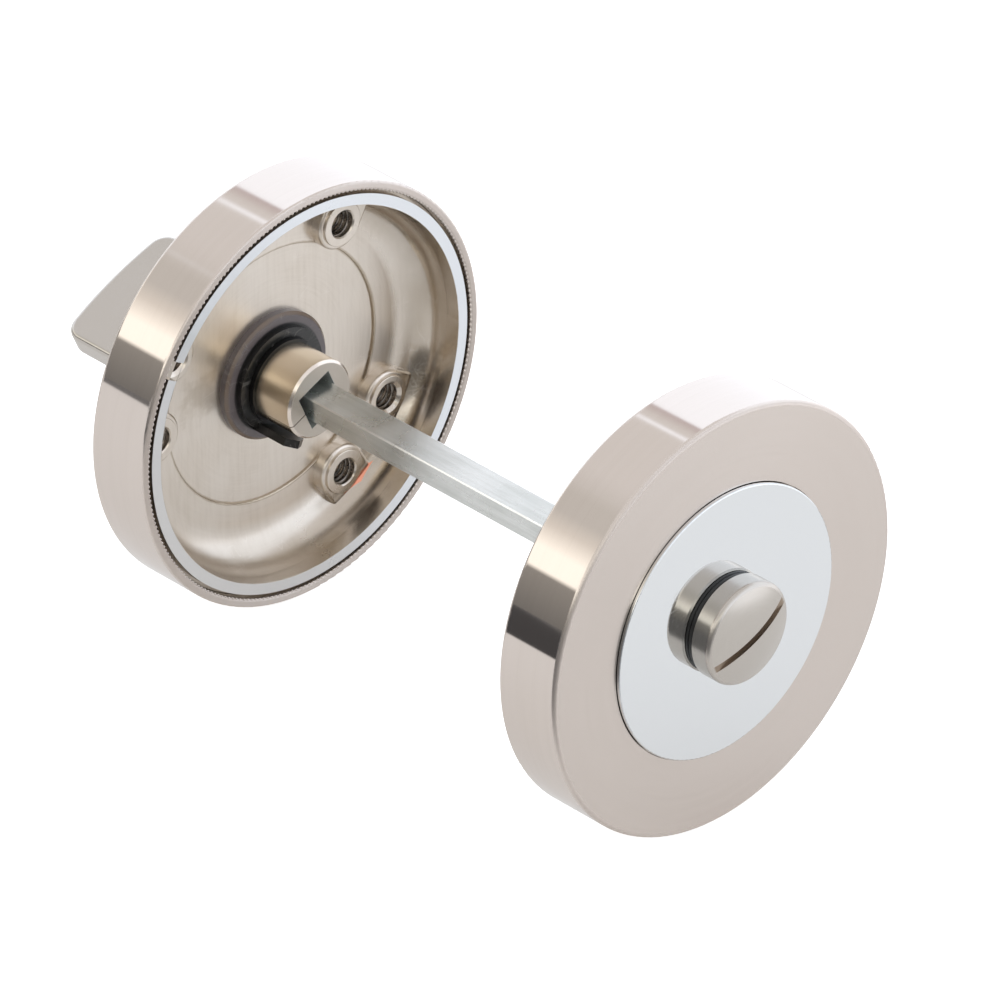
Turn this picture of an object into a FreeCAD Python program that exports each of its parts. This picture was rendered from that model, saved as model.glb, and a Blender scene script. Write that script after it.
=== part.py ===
import FreeCAD, Part
import math
import os
import re
import Sketcher
from FreeCAD import Placement, Rotation, Vector

# Bathroom thumb turn lock: two round roses on a square spindle, millimetres.
# X runs along the spindle. The door face of the thumb turn's rose lies at X = 0,
# the thumb turn points to -X and the release side lies towards +X. Z is up.
# Each rose is drawn with its door face at X = 0 and its front towards -X.
# The release rose is the same rose, turned over about the line of its two bolts.

DOC = FreeCAD.newDocument("thumb_turn_lock")

# Driving sizes: name, value, meaning. Lengths in mm, angles in degrees.
SIZES = [
    ("rose_diameter", 52.0, "outside of a rose"),
    ("rose_depth", 8.5, "door face to front face of a cover"),
    ("cover_wall", 1.0, "side wall of a cover"),
    ("cover_face", 0.8, "front wall of a cover"),
    ("cover_round", 0.5, "rounding of a cover's front edge"),
    ("lip_round", 0.3, "rounding of a cover's lip"),
    ("disc_diameter", 33.0, "centre disc"),
    ("disc_proud", 0.5, "centre disc above the cover"),
    ("disc_round", 0.2, "rounding of the disc's edge"),
    ("disc_fit", 0.1, "radial gap round the disc"),
    ("casting_fit", 0.05, "radial gap of a casting in its cover"),
    ("rim_recess", 0.15, "casting rim below the cover's lip"),
    ("rim_gap", 0.55, "open gap between lip and rim"),
    ("rim_gap_depth", 1.6, "depth of that gap"),
    ("rim_width", 1.35, "flat rim of the casting"),
    ("casting_plate", 1.1, "plate of the casting"),
    ("floor_circle", 31.9, "diameter of the sunk floor"),
    ("floor_step", 0.3, "step into the sunk floor"),
    ("bowl_corner", 4.5, "inside radius of the bowl"),
    ("boss_inset", 4.1, "axis of a tapped boss inside the bowl's wall"),
    ("boss_width", 6.6, "width of a boss"),
    ("boss_height", 1.5, "boss above the bowl's floor"),
    ("boss_lip_diameter", 5.5, "raised lip round a tapped hole"),
    ("boss_lip_height", 0.3, "height of that lip"),
    ("boss_root", 0.5, "how deep a boss is rooted in the wall"),
    ("boss_edge", 0.4, "rounding of a boss's top edge"),
    ("boss_lip_edge", 0.12, "rounding of the lip round a tapped hole"),
    ("floor_edge", 0.12, "rounding of the edge of the sunk floor"),
    ("tap_bore", 3.3, "core of an M4 thread"),
    ("bolt_mouth", 4.1, "countersink of the two bolt bosses"),
    ("screw_mouth", 3.6, "countersink of the three screw bosses"),
    ("screw_angle", 60.0, "first of three bosses, from +Y towards +Z"),
    ("bolt_angle", 150.0, "first of two bosses, from +Y towards +Z"),
    ("notch_width", 2.2, "prying notch in the rim"),
    ("notch_depth", 1.0, "depth of that notch"),
    ("shaft_diameter", 9.6, "shaft of thumb turn and release button"),
    ("shaft_proud", 1.3, "shaft end past the door face"),
    ("shaft_chamfer", 0.3, "chamfer of the shaft end"),
    ("bush_fit", 0.05, "radial running gap of the shaft"),
    ("bush_wall", 0.75, "wall of the bush"),
    ("bush_seat_fit", 0.05, "radial gap round the bush"),
    ("flange_width", 2.25, "flange of the bush, from its tube outwards"),
    ("flange_thickness", 1.2, "thickness of the flange"),
    ("flange_chamfer", 0.4, "chamfer of the flange"),
    ("collar_width", 0.7, "collar of the bush, from its tube outwards"),
    ("collar_height", 0.7, "height of that collar"),
    ("tongue_width", 3.0, "tongue of the bush"),
    ("tongue_wall", 0.95, "thickness of the tongue"),
    ("tongue_gap", 0.65, "between shaft and tongue"),
    ("tongue_point", 0.9, "length of the tongue's point"),
    ("tongue_past", 0.3, "tongue past the door face"),
    ("tongue_angle", -114.0, "place of the tongue, from +Y towards +Z"),
    ("ring_play", 0.1, "snap ring above the bush"),
    ("ring_thickness", 0.6, "snap ring"),
    ("ring_wall", 0.75, "radial width of the snap ring"),
    ("ring_fit", 0.05, "gap of the snap ring in its groove"),
    ("ring_opening", 50.0, "angle left open in the snap ring"),
    ("groove_depth", 0.45, "groove for the snap ring"),
    ("washer_gap", 0.2, "radial gap between shaft and washer"),
    ("washer_width", 1.0, "radial width of the washer under a head"),
    ("washer_height", 0.5, "thickness of that washer"),
    ("washer_round", 0.15, "rounding of that washer"),
    ("washer_play", 0.05, "gap between washer and head"),
    ("head_diameter", 12.4, "neck of the thumb turn, head of the button"),
    ("head_foot", 0.2, "chamfer at the foot of a head"),
    ("button_side", 2.7, "side of the button, up to its dome"),
    ("button_shoulder", 0.7, "rounding between side and dome"),
    ("button_dome", 1.2, "height of the dome"),
    ("slot_width", 0.9, "coin slot"),
    ("slot_depth", 0.9, "coin slot below the top of the dome"),
    ("neck_height", 3.65, "neck of the thumb turn"),
    ("neck_round", 0.6, "rounding where the neck ends"),
    ("wing_reach", 24.6, "wing above the cover's front"),
    ("wing_width", 17.2, "wing across"),
    ("wing_thickness", 3.1, "wing through"),
    ("wing_crown", 0.7, "crown of the wing's outer edge"),
    ("wing_corner", 2.4, "corner radius of the wing"),
    ("wing_foot", 8.4, "width of the wing where it leaves the neck"),
    ("wing_flare", 4.3, "radius of the flare above the neck"),
    ("wing_edge", 0.6, "rounding of the wing's edges"),
    ("spindle_side", 3.6, "square bar"),
    ("spindle_length", 72.0, "length of the bar"),
    ("spindle_arris", 0.15, "chamfer of the bar's long edges"),
    ("spindle_end", 0.5, "chamfer of the bar's ends"),
    ("spindle_rest", 0.7, "bar end above the floor of the thumb turn's socket"),
    ("spindle_grip", 5.3, "length of the bar inside the button's socket"),
    ("spindle_seat", 0.1, "gap on the side where the bar lies in its sockets"),
    ("socket_side", 5.0, "square socket in a shaft end"),
    ("neck_wall", 1.5, "metal between neck end and socket floor"),
    ("button_wall", 2.25, "metal between coin slot and socket floor"),
    ("slit_width", 0.12, "slit in the thumb turn's shaft"),
    ("slit_length", 4.0, "length of that slit"),
    ("turn_angle", 23.5, "wing, slot and sockets, from +Y towards +Z"),
    ("bar_angle", 12.0, "bar, which lies twisted in its wider sockets"),
]

# Places that follow from the sizes, in the frame of one rose.
PLACES = [
    ("cover_radius", "rose_diameter / 2"),
    ("cover_bore", "cover_radius - cover_wall"),
    ("cover_front", "-rose_depth"),
    ("seat", "cover_front + cover_face"),
    ("disc_radius", "disc_diameter / 2"),
    ("disc_front", "cover_front - disc_proud"),
    ("cover_hole", "disc_radius + disc_fit"),
    ("casting_radius", "cover_bore - casting_fit"),
    ("rim_face", "-rim_recess"),
    ("rim_foot", "rim_face - rim_gap_depth"),
    ("rim_radius", "cover_bore - rim_gap"),
    ("bowl_radius", "rim_radius - rim_width"),
    ("outer_floor", "seat + casting_plate"),
    ("inner_floor", "outer_floor - floor_step"),
    ("floor_radius", "floor_circle / 2"),
    ("boss_radius", "bowl_radius - boss_inset"),
    ("boss_top", "outer_floor + boss_height"),
    ("lip_top", "boss_top + boss_lip_height"),
    ("shaft_radius", "shaft_diameter / 2"),
    ("bush_bore", "shaft_radius + bush_fit"),
    ("bush_radius", "bush_bore + bush_wall"),
    ("casting_bore", "bush_radius + bush_seat_fit"),
    ("flange_radius", "bush_radius + flange_width"),
    ("flange_top", "inner_floor + flange_thickness"),
    ("collar_radius", "bush_radius + collar_width"),
    ("collar_top", "flange_top + collar_height"),
    ("tongue_inside", "shaft_radius + tongue_gap"),
    ("tongue_outside", "tongue_inside + tongue_wall"),
    ("groove_radius", "shaft_radius - groove_depth"),
    ("ring_bottom", "collar_top + ring_play"),
    ("ring_top", "ring_bottom + ring_thickness"),
    ("ring_inside", "groove_radius + ring_fit"),
    ("ring_outside", "ring_inside + ring_wall"),
    ("washer_inside", "shaft_radius + washer_gap"),
    ("washer_outside", "washer_inside + washer_width"),
    ("washer_top", "disc_front - washer_height"),
    ("head_seat", "washer_top - washer_play"),
    ("head_radius", "head_diameter / 2"),
    ("side_top", "head_seat - button_side"),
    ("dome_top", "side_top - button_dome"),
    ("dome_sphere", "(head_radius ^ 2 + button_dome ^ 2) / (2 * button_dome)"),
    ("neck_top", "head_seat - neck_height"),
    ("wing_top", "cover_front - wing_reach"),
    ("wing_side", "wing_width / 2"),
    ("wing_shoulder", "wing_top + wing_crown"),
    ("crown_radius", "(wing_side ^ 2 + wing_crown ^ 2) / (2 * wing_crown)"),
    ("flare_start", "neck_top + neck_round"),
    ("bar_twist", "turn_angle - bar_angle"),
    ("bar_reach", "spindle_side / 2 * (cos(bar_twist) + sin(bar_twist))"),
    ("bar_drop", "socket_side / 2 - spindle_seat - bar_reach"),
    ("turn_socket", "shaft_proud - neck_top - neck_wall"),
    ("release_socket", "shaft_proud - dome_top - slot_depth - button_wall"),
    ("bar_start", "shaft_proud - turn_socket + spindle_rest"),
    ("door_gap", "bar_start + spindle_length - spindle_grip + shaft_proud"),
]


SIZE_NAMES = {name for name, number, meaning in SIZES}
PLACE_NAMES = {name for name, formula in PLACES}


def fill_sheets():
    """Writes the driving sizes as numbers and the places as formulas."""
    sizes = DOC.addObject("Spreadsheet::Sheet", "Sizes")
    for row, (name, number, meaning) in enumerate(SIZES, start=1):
        sizes.set(f"A{row}", meaning)
        sizes.set(f"B{row}", str(number))
        sizes.setAlias(f"B{row}", name)
    places = DOC.addObject("Spreadsheet::Sheet", "Places")
    for row, (name, formula) in enumerate(PLACES, start=1):
        places.set(f"A{row}", "=" + bound(formula, True))
        places.setAlias(f"A{row}", name)
    DOC.recompute()
    return sizes, places


def bound(formula, inside_places=False):
    """Points each size and place named in a formula at its sheet."""
    def link(match):
        name = match.group(0)
        if name in SIZE_NAMES:
            return "Sizes." + name
        if name in PLACE_NAMES and not inside_places:
            return "Places." + name
        return name
    return re.sub(r"[a-z_]+", link, formula)


SHEET_SIZES, SHEET_PLACES = fill_sheets()


def value(formula):
    """The number that a formula of sizes and places gives."""
    result = SHEET_SIZES.evalExpression(bound(formula))
    return float(getattr(result, "Value", result))


def new_body(label):
    body = DOC.addObject("PartDesign::Body", label)
    body.Label = label
    return body


def origin_part(body, role):
    return next(item for item in body.Origin.OriginFeatures if item.Role == role)


def new_sketch(body, role, name, offset=None, turn=None):
    """A sketch on one of the body's own planes, shifted and turned on it."""
    sketch = body.newObject("Sketcher::SketchObject", name)
    sketch.AttachmentSupport = [(origin_part(body, role), "")]
    sketch.MapMode = "FlatFace"
    if offset:
        sketch.setExpression(".AttachmentOffset.Base.z", bound(offset))
    if turn:
        sketch.AttachmentOffset.Rotation.Axis = Vector(0, 0, 1)
        sketch.setExpression(".AttachmentOffset.Rotation.Angle", bound(turn))
    return sketch


def place_point(sketch, geometry, end, x, y):
    """Ties one end of a piece of geometry to its two formulas."""
    for kind, axis, formula in (("DistanceX", -2, x), ("DistanceY", -1, y)):
        if formula == "0":
            sketch.addConstraint(Sketcher.Constraint("PointOnObject", geometry, end, axis))
            continue
        tie = Sketcher.Constraint(kind, -1, 1, geometry, end, value(formula))
        index = sketch.addConstraint(tie)
        sketch.setExpression(f"Constraints[{index}]", bound(formula))


def arc_through(start, end, radius, side):
    """The arc of a radius from start to end, with its centre left (1) or right (-1)."""
    chord = end - start
    across = Vector(-chord.y, chord.x, 0).normalize() * side
    reach = math.sqrt(radius ** 2 - chord.Length ** 2 / 4)
    centre = (start + end) / 2 + across * reach
    towards = across * -1
    return Part.Arc(start, centre + towards.normalize() * radius, end)


def outline(sketch, corners):
    """A closed outline. A corner is (x, y), or (x, y, radius, side) after an arc."""
    spots = [Vector(value(corner[0]), value(corner[1]), 0) for corner in corners]
    count = len(corners)
    pieces = []
    for index, corner in enumerate(corners):
        start, end = spots[index - 1], spots[index]
        if len(corner) == 2:
            pieces.append(sketch.addGeometry(Part.LineSegment(start, end)))
        else:
            arc = arc_through(start, end, value(corner[2]), corner[3])
            pieces.append(sketch.addGeometry(arc))
    ends = []
    for index, piece in enumerate(pieces):
        first = sketch.getPoint(piece, 1)
        turned = first.distanceToPoint(spots[index - 1]) > 1e-4
        ends.append((2, 1) if turned else (1, 2))
    for index, corner in enumerate(corners):
        piece, following = pieces[index], pieces[(index + 1) % count]
        end, begin = ends[index][1], ends[(index + 1) % count][0]
        sketch.addConstraint(Sketcher.Constraint("Coincident", piece, end, following, begin))
        place_point(sketch, piece, end, corner[0], corner[1])
        if len(corner) == 4:
            tie = Sketcher.Constraint("Radius", piece, value(corner[2]))
            number = sketch.addConstraint(tie)
            sketch.setExpression(f"Constraints[{number}]", bound(corner[2]))


def square(sketch, side):
    """A square about the sketch's origin."""
    half = f"{side} / 2"
    outline(sketch, [("-" + half, "-" + half), (half, "-" + half), (half, half), ("-" + half, half)])


def ring(sketch, x, y, radius):
    """A circle at (x, y)."""
    centre = Vector(value(x), value(y), 0)
    piece = sketch.addGeometry(Part.Circle(centre, Vector(0, 0, 1), value(radius)))
    place_point(sketch, piece, 3, x, y)
    index = sketch.addConstraint(Sketcher.Constraint("Radius", piece, value(radius)))
    sketch.setExpression(f"Constraints[{index}]", bound(radius))


def revolve(body, name, corners):
    """A turned form about X from an outline of (x, radius) corners."""
    sketch = new_sketch(body, "XY_Plane", name + "_profile")
    outline(sketch, corners)
    feature = body.newObject("PartDesign::Revolution", name)
    feature.Profile = sketch
    feature.ReferenceAxis = (sketch, ["H_Axis"])
    feature.Angle = 360
    DOC.recompute()
    return feature


def extrude(body, kind, name, sketch, length, backwards=False, both_ways=False):
    """A pad or a pocket of a sketch, over a length that a formula gives."""
    feature = body.newObject("PartDesign::" + kind, name)
    feature.Profile = sketch
    feature.Reversed = backwards
    feature.Midplane = both_ways
    feature.setExpression("Length", bound(length))
    DOC.recompute()
    return feature


def polar(body, name, originals, sketch, count):
    """Copies features evenly about the X axis, which is the normal of their sketch."""
    feature = body.newObject("PartDesign::PolarPattern", name)
    feature.Originals = originals
    feature.Axis = (sketch, ["N_Axis"])
    feature.Angle = 360
    feature.Occurrences = count
    body.Tip = feature
    DOC.recompute()
    return feature


def circles_at(shape, x, radius):
    """Names of the full circles about X at a place and a radius."""
    names = []
    for index, edge in enumerate(shape.Edges, start=1):
        if edge.Degenerated or not isinstance(edge.Curve, Part.Circle):
            continue
        middle = edge.Curve.Center
        near = abs(middle.x - value(x)) + math.hypot(middle.y, middle.z) < 1e-4
        if near and abs(edge.Curve.Radius - value(radius)) < 1e-4:
            names.append(f"Edge{index}")
    return names


def edges_across(shape, x):
    """Names of all the edges that lie in one plane across the X axis."""
    names = []
    for index, edge in enumerate(shape.Edges, start=1):
        box = edge.BoundBox
        if abs(box.XMin - value(x)) < 1e-4 and box.XLength < 1e-4:
            names.append(f"Edge{index}")
    return names


def soften(body, kind, name, base, edges, size):
    """A fillet or a chamfer of named edges."""
    feature = body.newObject("PartDesign::" + kind, name)
    feature.Base = (base, edges)
    feature.setExpression("Radius" if kind == "Fillet" else "Size", bound(size))
    DOC.recompute()
    return feature


# The satin cover: a shallow cup with a round hole in its face for the disc.
def make_cover(label):
    body = new_body(label)
    cup = revolve(body, label + "_cup", [
        ("cover_front", "cover_hole"),
        ("cover_front", "cover_radius"),
        ("0", "cover_radius"),
        ("0", "cover_bore"),
        ("seat", "cover_bore"),
        ("seat", "cover_hole"),
    ])
    front_edge = circles_at(cup.Shape, "cover_front", "cover_radius")
    rounded = soften(body, "Fillet", label + "_front_edge", cup, front_edge, "cover_round")
    lip_edges = circles_at(rounded.Shape, "0", "cover_radius")
    lip_edges += circles_at(rounded.Shape, "0", "cover_bore")
    soften(body, "Fillet", label + "_lip", rounded, lip_edges, "lip_round")
    return body


# The polished disc, which fills the hole of the cover and stands a little proud.
def make_disc(label):
    body = new_body(label)
    blank = revolve(body, label + "_blank", [
        ("disc_front", "casting_bore"),
        ("disc_front", "disc_radius"),
        ("seat", "disc_radius"),
        ("seat", "casting_bore"),
    ])
    edge = circles_at(blank.Shape, "disc_front", "disc_radius")
    soften(body, "Fillet", label + "_edge", blank, edge, "disc_round")
    return body


# A tapped boss: a rounded pad from floor and wall, a raised lip and a countersunk hole.
def add_boss(body, label, angle, mouth_diameter):
    pad_sketch = new_sketch(body, "YZ_Plane", label + "_pad_outline", "inner_floor", angle)
    outline(pad_sketch, [
        ("bowl_radius + boss_root", "boss_width / 2"),
        ("boss_radius", "boss_width / 2"),
        ("boss_radius - boss_width / 2", "0", "boss_width / 2", 1),
        ("boss_radius", "-boss_width / 2", "boss_width / 2", 1),
        ("bowl_radius + boss_root", "-boss_width / 2"),
    ])
    pad = extrude(body, "Pad", label + "_pad", pad_sketch, "boss_top - inner_floor")
    lip_sketch = new_sketch(body, "YZ_Plane", label + "_lip_outline", "inner_floor", angle)
    ring(lip_sketch, "boss_radius", "0", "boss_lip_diameter / 2")
    lip = extrude(body, "Pad", label + "_lip", lip_sketch, "lip_top - inner_floor")
    hole_sketch = new_sketch(body, "YZ_Plane", label + "_hole_outline", "lip_top", angle)
    ring(hole_sketch, "boss_radius", "0", "tap_bore / 2")
    hole = extrude(body, "Pocket", label + "_hole", hole_sketch, "lip_top - seat + boss_height")
    mouth_depth = f"({mouth_diameter} - tap_bore) / 2"
    mouth = body.newObject("PartDesign::SubtractiveCone", label + "_mouth")
    mouth.setExpression("Radius1", bound("tap_bore / 2"))
    mouth.setExpression("Radius2", bound(f"{mouth_diameter} / 2"))
    mouth.setExpression("Height", bound(mouth_depth))
    mouth.AttachmentSupport = [(origin_part(body, "YZ_Plane"), "")]
    mouth.MapMode = "FlatFace"
    mouth.setExpression(".AttachmentOffset.Base.x", bound(f"boss_radius * cos({angle})"))
    mouth.setExpression(".AttachmentOffset.Base.y", bound(f"boss_radius * sin({angle})"))
    mouth.setExpression(".AttachmentOffset.Base.z", bound(f"lip_top - {mouth_depth}"))
    DOC.recompute()
    return pad_sketch, [pad, lip, hole, mouth]


def boss_edges(shape, x, radius):
    """Names of the edges at a height that run round a boss at a radius, or straight on."""
    names = []
    for index, edge in enumerate(shape.Edges, start=1):
        box = edge.BoundBox
        if abs(box.XMin - value(x)) > 1e-4 or box.XLength > 1e-4:
            continue
        straight = isinstance(edge.Curve, Part.Line)
        if straight or abs(edge.Curve.Radius - value(radius)) < 1e-4:
            names.append(f"Edge{index}")
    return names


# The inner casting: a bowl with five tapped bosses, a flat rim and a prying notch.
def make_casting(label):
    body = new_body(label)
    bowl = revolve(body, label + "_bowl", [
        ("seat", "casting_bore"),
        ("seat", "casting_radius"),
        ("rim_foot", "casting_radius"),
        ("rim_foot", "rim_radius"),
        ("rim_face", "rim_radius"),
        ("rim_face", "bowl_radius"),
        ("outer_floor", "bowl_radius"),
        ("outer_floor", "floor_radius"),
        ("inner_floor", "floor_radius"),
        ("inner_floor", "casting_bore"),
    ])
    corner = circles_at(bowl.Shape, "outer_floor", "bowl_radius")
    soften(body, "Fillet", label + "_corner", bowl, corner, "bowl_corner")
    boss_sketch, boss = add_boss(body, label + "_screw_boss", "screw_angle", "screw_mouth")
    polar(body, label + "_screw_bosses", boss, boss_sketch, 3)
    add_boss(body, label + "_near_bolt_boss", "bolt_angle", "bolt_mouth")
    add_boss(body, label + "_far_bolt_boss", "bolt_angle + 180", "bolt_mouth")
    notch_sketch = new_sketch(body, "YZ_Plane", label + "_notch_outline", "rim_face", "bolt_angle")
    outline(notch_sketch, [
        ("bowl_radius - rim_width", "notch_width / 2"),
        ("bowl_radius - rim_width", "-notch_width / 2"),
        ("casting_radius", "-notch_width / 2"),
        ("casting_radius", "notch_width / 2"),
    ])
    notch = extrude(body, "Pocket", label + "_notch", notch_sketch, "notch_depth")
    tops = boss_edges(notch.Shape, "boss_top", "boss_width / 2")
    rounded = soften(body, "Fillet", label + "_boss_edges", notch, tops, "boss_edge")
    lips = boss_edges(rounded.Shape, "lip_top", "boss_lip_diameter / 2")
    eased = soften(body, "Fillet", label + "_lip_edges", rounded, lips, "boss_lip_edge")
    step = circles_at(eased.Shape, "outer_floor", "floor_radius")
    soften(body, "Fillet", label + "_step_edge", eased, step, "floor_edge")
    return body


# The moulded bush: tube through casting and disc, flange, collar and a long tongue.
def make_bush(label):
    body = new_body(label)
    turned = revolve(body, label + "_body", [
        ("disc_front", "bush_bore"),
        ("disc_front", "bush_radius"),
        ("inner_floor", "bush_radius"),
        ("inner_floor", "flange_radius"),
        ("flange_top - flange_chamfer", "flange_radius"),
        ("flange_top", "flange_radius - flange_chamfer"),
        ("flange_top", "collar_radius"),
        ("collar_top", "collar_radius"),
        ("collar_top", "bush_bore"),
    ])
    tongue = new_sketch(body, "XY_Plane", label + "_tongue_outline", "tongue_inside")
    outline(tongue, [
        ("inner_floor + flange_thickness / 2", "-tongue_width / 2"),
        ("tongue_past - tongue_point", "-tongue_width / 2"),
        ("tongue_past", "0"),
        ("tongue_past - tongue_point", "tongue_width / 2"),
        ("inner_floor + flange_thickness / 2", "tongue_width / 2"),
    ])
    extrude(body, "Pad", label + "_tongue", tongue, "tongue_wall")
    return body


# The washer under the neck or the button, black and slightly rounded.
def make_washer(label):
    body = new_body(label)
    blank = revolve(body, label + "_blank", [
        ("washer_top", "washer_inside"),
        ("washer_top", "washer_outside"),
        ("disc_front", "washer_outside"),
        ("disc_front", "washer_inside"),
    ])
    edges = circles_at(blank.Shape, "washer_top", "washer_outside")
    edges += circles_at(blank.Shape, "disc_front", "washer_outside")
    soften(body, "Fillet", label + "_edge", blank, edges, "washer_round")
    return body


# The open snap ring that sits in the shaft's groove and keeps the shaft in its bush.
def make_snap_ring(label):
    body = new_body(label)
    blank = revolve(body, label + "_blank", [
        ("ring_bottom", "ring_inside"),
        ("ring_bottom", "ring_outside"),
        ("ring_top", "ring_outside"),
        ("ring_top", "ring_inside"),
    ])
    gap_sketch = new_sketch(body, "YZ_Plane", label + "_gap_outline", "ring_top")
    reach = "2 * ring_outside"
    outline(gap_sketch, [
        ("0", "0"),
        (f"{reach} * cos(ring_opening / 2)", f"-{reach} * sin(ring_opening / 2)"),
        (f"{reach} * cos(ring_opening / 2)", f"{reach} * sin(ring_opening / 2)"),
    ])
    extrude(body, "Pocket", label + "_gap", gap_sketch, "ring_thickness")
    return body


def shaft_corners():
    """Radii along the shaft, from its door end to the seat of its head."""
    return [
        ("shaft_proud", "0"),
        ("shaft_proud", "shaft_radius - shaft_chamfer"),
        ("shaft_proud - shaft_chamfer", "shaft_radius"),
        ("ring_top + ring_fit", "shaft_radius"),
        ("ring_top + ring_fit", "groove_radius"),
        ("ring_bottom - ring_fit", "groove_radius"),
        ("ring_bottom - ring_fit", "shaft_radius"),
        ("head_seat", "shaft_radius"),
        ("head_seat", "head_radius - head_foot"),
        ("head_seat - head_foot", "head_radius"),
    ]


def add_socket(body, label, depth):
    """The square socket in the shaft end."""
    sketch = new_sketch(body, "YZ_Plane", label + "_socket_outline", "shaft_proud")
    square(sketch, "socket_side")
    return extrude(body, "Pocket", label + "_socket", sketch, depth)


# The thumb turn: neck and shaft turned in one, and a flat wing that flares from the neck.
def make_thumb_turn(label):
    body = new_body(label)
    turned = revolve(body, label + "_shaft", shaft_corners() + [
        ("neck_top + neck_round", "head_radius"),
        ("neck_top", "head_radius - neck_round", "neck_round", 1),
        ("neck_top", "0"),
    ])
    wing_sketch = new_sketch(body, "XY_Plane", label + "_wing_outline")
    flare_end = "flare_start - wing_flare"
    outline(wing_sketch, [
        ("flare_start", "wing_foot / 2"),
        (flare_end, "wing_side", "wing_flare", -1),
        ("wing_shoulder", "wing_side"),
        ("wing_shoulder", "-wing_side", "crown_radius", 1),
        (flare_end, "-wing_side"),
        ("flare_start", "-wing_foot / 2", "wing_flare", -1),
    ])
    wing = extrude(body, "Pad", label + "_wing", wing_sketch, "wing_thickness", both_ways=True)
    corners = wing_corners(wing.Shape)
    corner = soften(body, "Fillet", label + "_corners", wing, corners, "wing_corner")
    edges = wing_edges(corner.Shape)
    soften(body, "Fillet", label + "_edges", corner, edges, "wing_edge")
    add_socket(body, label, "turn_socket")
    slit_sketch = new_sketch(body, "XZ_Plane", label + "_slit_outline")
    outline(slit_sketch, [
        ("shaft_proud - slit_length", "-slit_width / 2"),
        ("shaft_proud + slit_length", "-slit_width / 2"),
        ("shaft_proud + slit_length", "slit_width / 2"),
        ("shaft_proud - slit_length", "slit_width / 2"),
    ])
    extrude(body, "Pocket", label + "_slit", slit_sketch, "head_radius", backwards=True)
    return body


def wing_corners(shape):
    """The short edges through the wing's thickness at its two outer corners."""
    names = []
    for index, edge in enumerate(shape.Edges, start=1):
        box = edge.BoundBox
        outer = abs(box.XMin - value("wing_shoulder")) < 1e-3 and box.XLength < 1e-3
        if outer and abs(box.ZLength - value("wing_thickness")) < 1e-3:
            names.append(f"Edge{index}")
    return names


def wing_edges(shape):
    """The long edges round both broad faces of the wing."""
    names = []
    for index, edge in enumerate(shape.Edges, start=1):
        box = edge.BoundBox
        level = abs(abs(box.ZMin) - value("wing_thickness / 2")) < 1e-3 and box.ZLength < 1e-3
        if level and box.XMin < value("flare_start - wing_flare / 2"):
            names.append(f"Edge{index}")
    return names


# The release button: the same shaft under a low domed head with a coin slot.
def make_button(label):
    body = new_body(label)
    turned = revolve(body, label + "_turned", shaft_corners() + [
        ("side_top", "head_radius"),
        ("dome_top", "0", "dome_sphere", 1),
    ])
    shoulder = circles_at(turned.Shape, "side_top", "head_radius")
    soften(body, "Fillet", label + "_shoulder", turned, shoulder, "button_shoulder")
    add_socket(body, label, "release_socket")
    slot_sketch = new_sketch(body, "YZ_Plane", label + "_slot_outline", "dome_top")
    outline(slot_sketch, [
        ("-head_radius", "-slot_width / 2"),
        ("head_radius", "-slot_width / 2"),
        ("head_radius", "slot_width / 2"),
        ("-head_radius", "slot_width / 2"),
    ])
    extrude(body, "Pocket", label + "_slot", slot_sketch, "slot_depth", backwards=True)
    return body


# The square bar that carries the turn through the door. It lies low and twisted in its sockets.
def make_spindle(label):
    body = new_body(label)
    sketch = new_sketch(body, "YZ_Plane", label + "_section", "bar_start")
    sketch.setExpression(".AttachmentOffset.Base.x", bound("bar_drop * sin(bar_twist)"))
    sketch.setExpression(".AttachmentOffset.Base.y", bound("-bar_drop * cos(bar_twist)"))
    square(sketch, "spindle_side")
    bar = extrude(body, "Pad", label + "_bar", sketch, "spindle_length")
    ends = edges_across(bar.Shape, "bar_start")
    ends += edges_across(bar.Shape, "bar_start + spindle_length")
    pointed = soften(body, "Chamfer", label + "_ends", bar, ends, "spindle_end")
    arrises = []
    for index, edge in enumerate(pointed.Shape.Edges, start=1):
        if edge.BoundBox.XLength > value("spindle_length / 2"):
            arrises.append(f"Edge{index}")
    soften(body, "Chamfer", label + "_arrises", pointed, arrises, "spindle_arris")
    return body


def place(body, released, spin="0", flip_line="bolt_angle"):
    """Spins a piece about X and, on the release side, turns it over and across."""
    rotation = Rotation(Vector(1, 0, 0), value(spin))
    if released:
        line = math.radians(value(flip_line))
        over = Rotation(Vector(0, math.cos(line), math.sin(line)), 180)
        rotation = over.multiply(rotation)
    body.Placement = Placement(Vector(0, 0, 0), rotation)
    if released:
        body.setExpression("Placement.Base.x", bound("door_gap"))
    return body


NODES = []
for side, released in (("turn", False), ("release", True)):
    NODES.append(place(make_cover(side + "_cover"), released))
    NODES.append(place(make_disc(side + "_disc"), released))
    NODES.append(place(make_casting(side + "_casting"), released))
    NODES.append(place(make_bush(side + "_bush"), released, "tongue_angle - 90"))
    NODES.append(place(make_washer(side + "_washer"), released))
    snap_ring = make_snap_ring(side + "_snap_ring")
    NODES.append(place(snap_ring, released, "turn_angle", "turn_angle"))
NODES.append(place(make_thumb_turn("thumb_turn"), False, "turn_angle"))
NODES.append(place(make_button("release_button"), True, "turn_angle", "turn_angle"))
NODES.append(place(make_spindle("spindle"), False, "bar_angle"))

DOC.recompute()
faults = [item.Name for item in DOC.Objects if {"Invalid", "Error"} & set(item.State)]
if faults:
    raise RuntimeError("failed objects: " + ", ".join(faults))
for node in NODES:
    if node.Shape.isNull() or not node.Shape.isValid():
        raise RuntimeError("bad shape: " + node.Label)
    print(f"{node.Label:20s} solids {len(node.Shape.Solids)} volume {node.Shape.Volume:9.2f}")

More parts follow.
